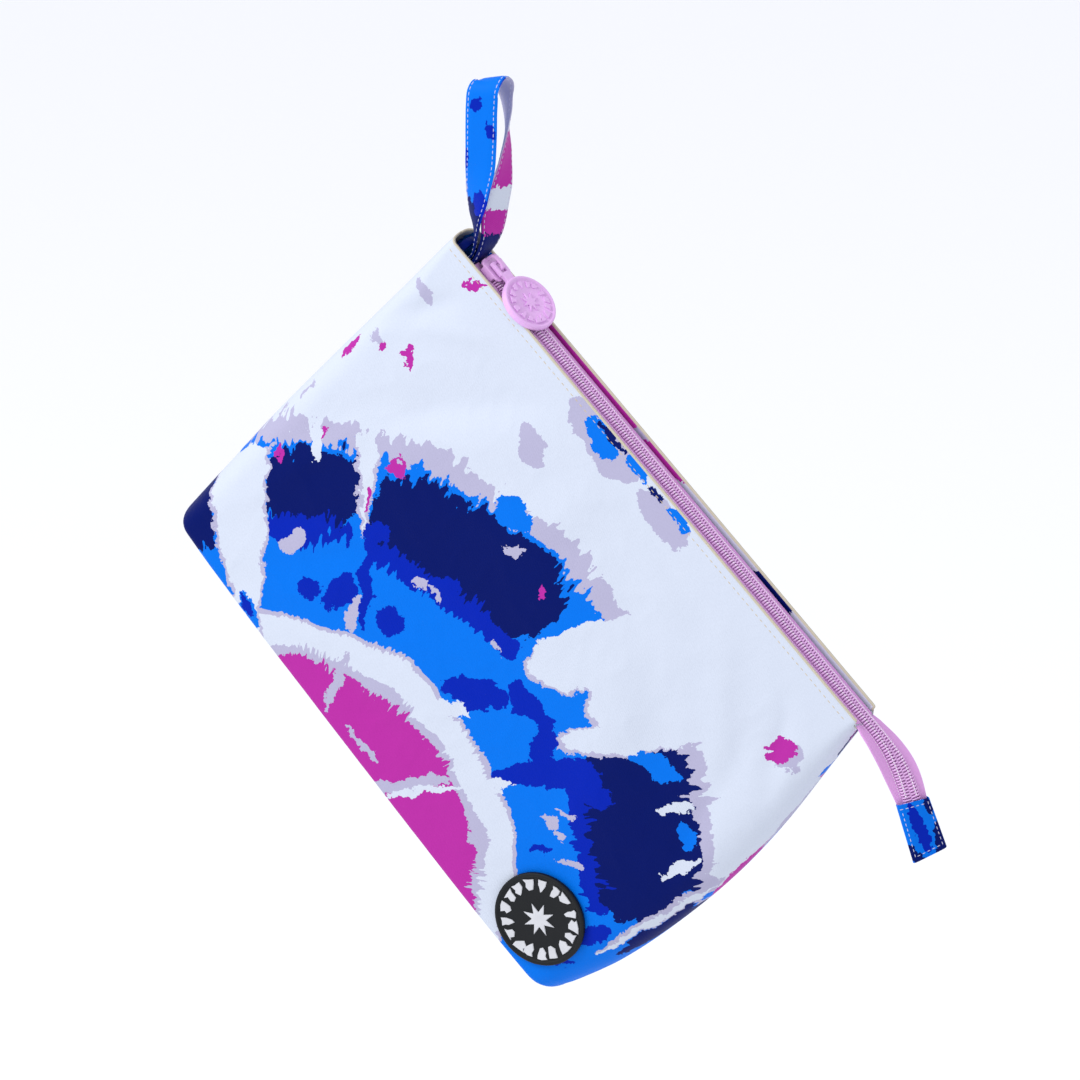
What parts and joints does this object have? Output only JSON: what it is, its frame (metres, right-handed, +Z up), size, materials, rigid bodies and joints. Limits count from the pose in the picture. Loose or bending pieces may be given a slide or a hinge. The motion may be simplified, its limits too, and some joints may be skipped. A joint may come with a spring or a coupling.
{
  "type": "zip pouch",
  "caption": "Soft hanging zip pouch with a boxed base, carry loop, round zip pull, drooping zip tail and a round moulded badge.",
  "frame": {"origin": "inside top of the hanging loop, where the pouch hangs on a hook", "axes": "+Z up as it hangs, the printed front faces -Y, the zip runs down towards +X"},
  "size_m": [0.4056, 0.0595, 0.4561],
  "materials": {
    "printed_satin": "smooth satin-woven polyester with a tie-dye ring print in white, azure, navy and magenta",
    "loop_cloth": "the same printed satin folded into a strap and edge-stitched",
    "navy_cloth": "folded printed satin, navy where it shows",
    "azure_cloth": "folded printed satin, azure to navy, edge-stitched",
    "zip_tape": "matt woven zip tape",
    "zip_coil": "drawn nylon coil",
    "slider_lilac": "lilac enamelled slider",
    "pull_lilac": "soft moulded plastic, satin",
    "badge_rubber": "soft moulded rubber, black with white raised marks"
  },
  "bodies": {
    "pouch": {"front_panel": "printed_satin", "back_panel": "printed_satin", "hang_loop": "loop_cloth", "start_tab": "navy_cloth", "tail_tab": "azure_cloth", "zip_tape_front": "zip_tape", "zip_tape_back": "zip_tape", "zip_coil_front": "zip_coil", "zip_coil_back": "zip_coil", "zip_slider": "slider_lilac", "badge": "badge_rubber"},
    "pull": {"zip_pull": "pull_lilac"}
  },
  "joints": [
    {"name": "pull_hinge", "type": "hinge", "parent": "pouch", "child": "pull", "pos_m": [0.00368, 0, -0.08909], "axis": [-0.0974, -0.9903, -0.0994], "range_deg": [0, 100]}
  ]
}
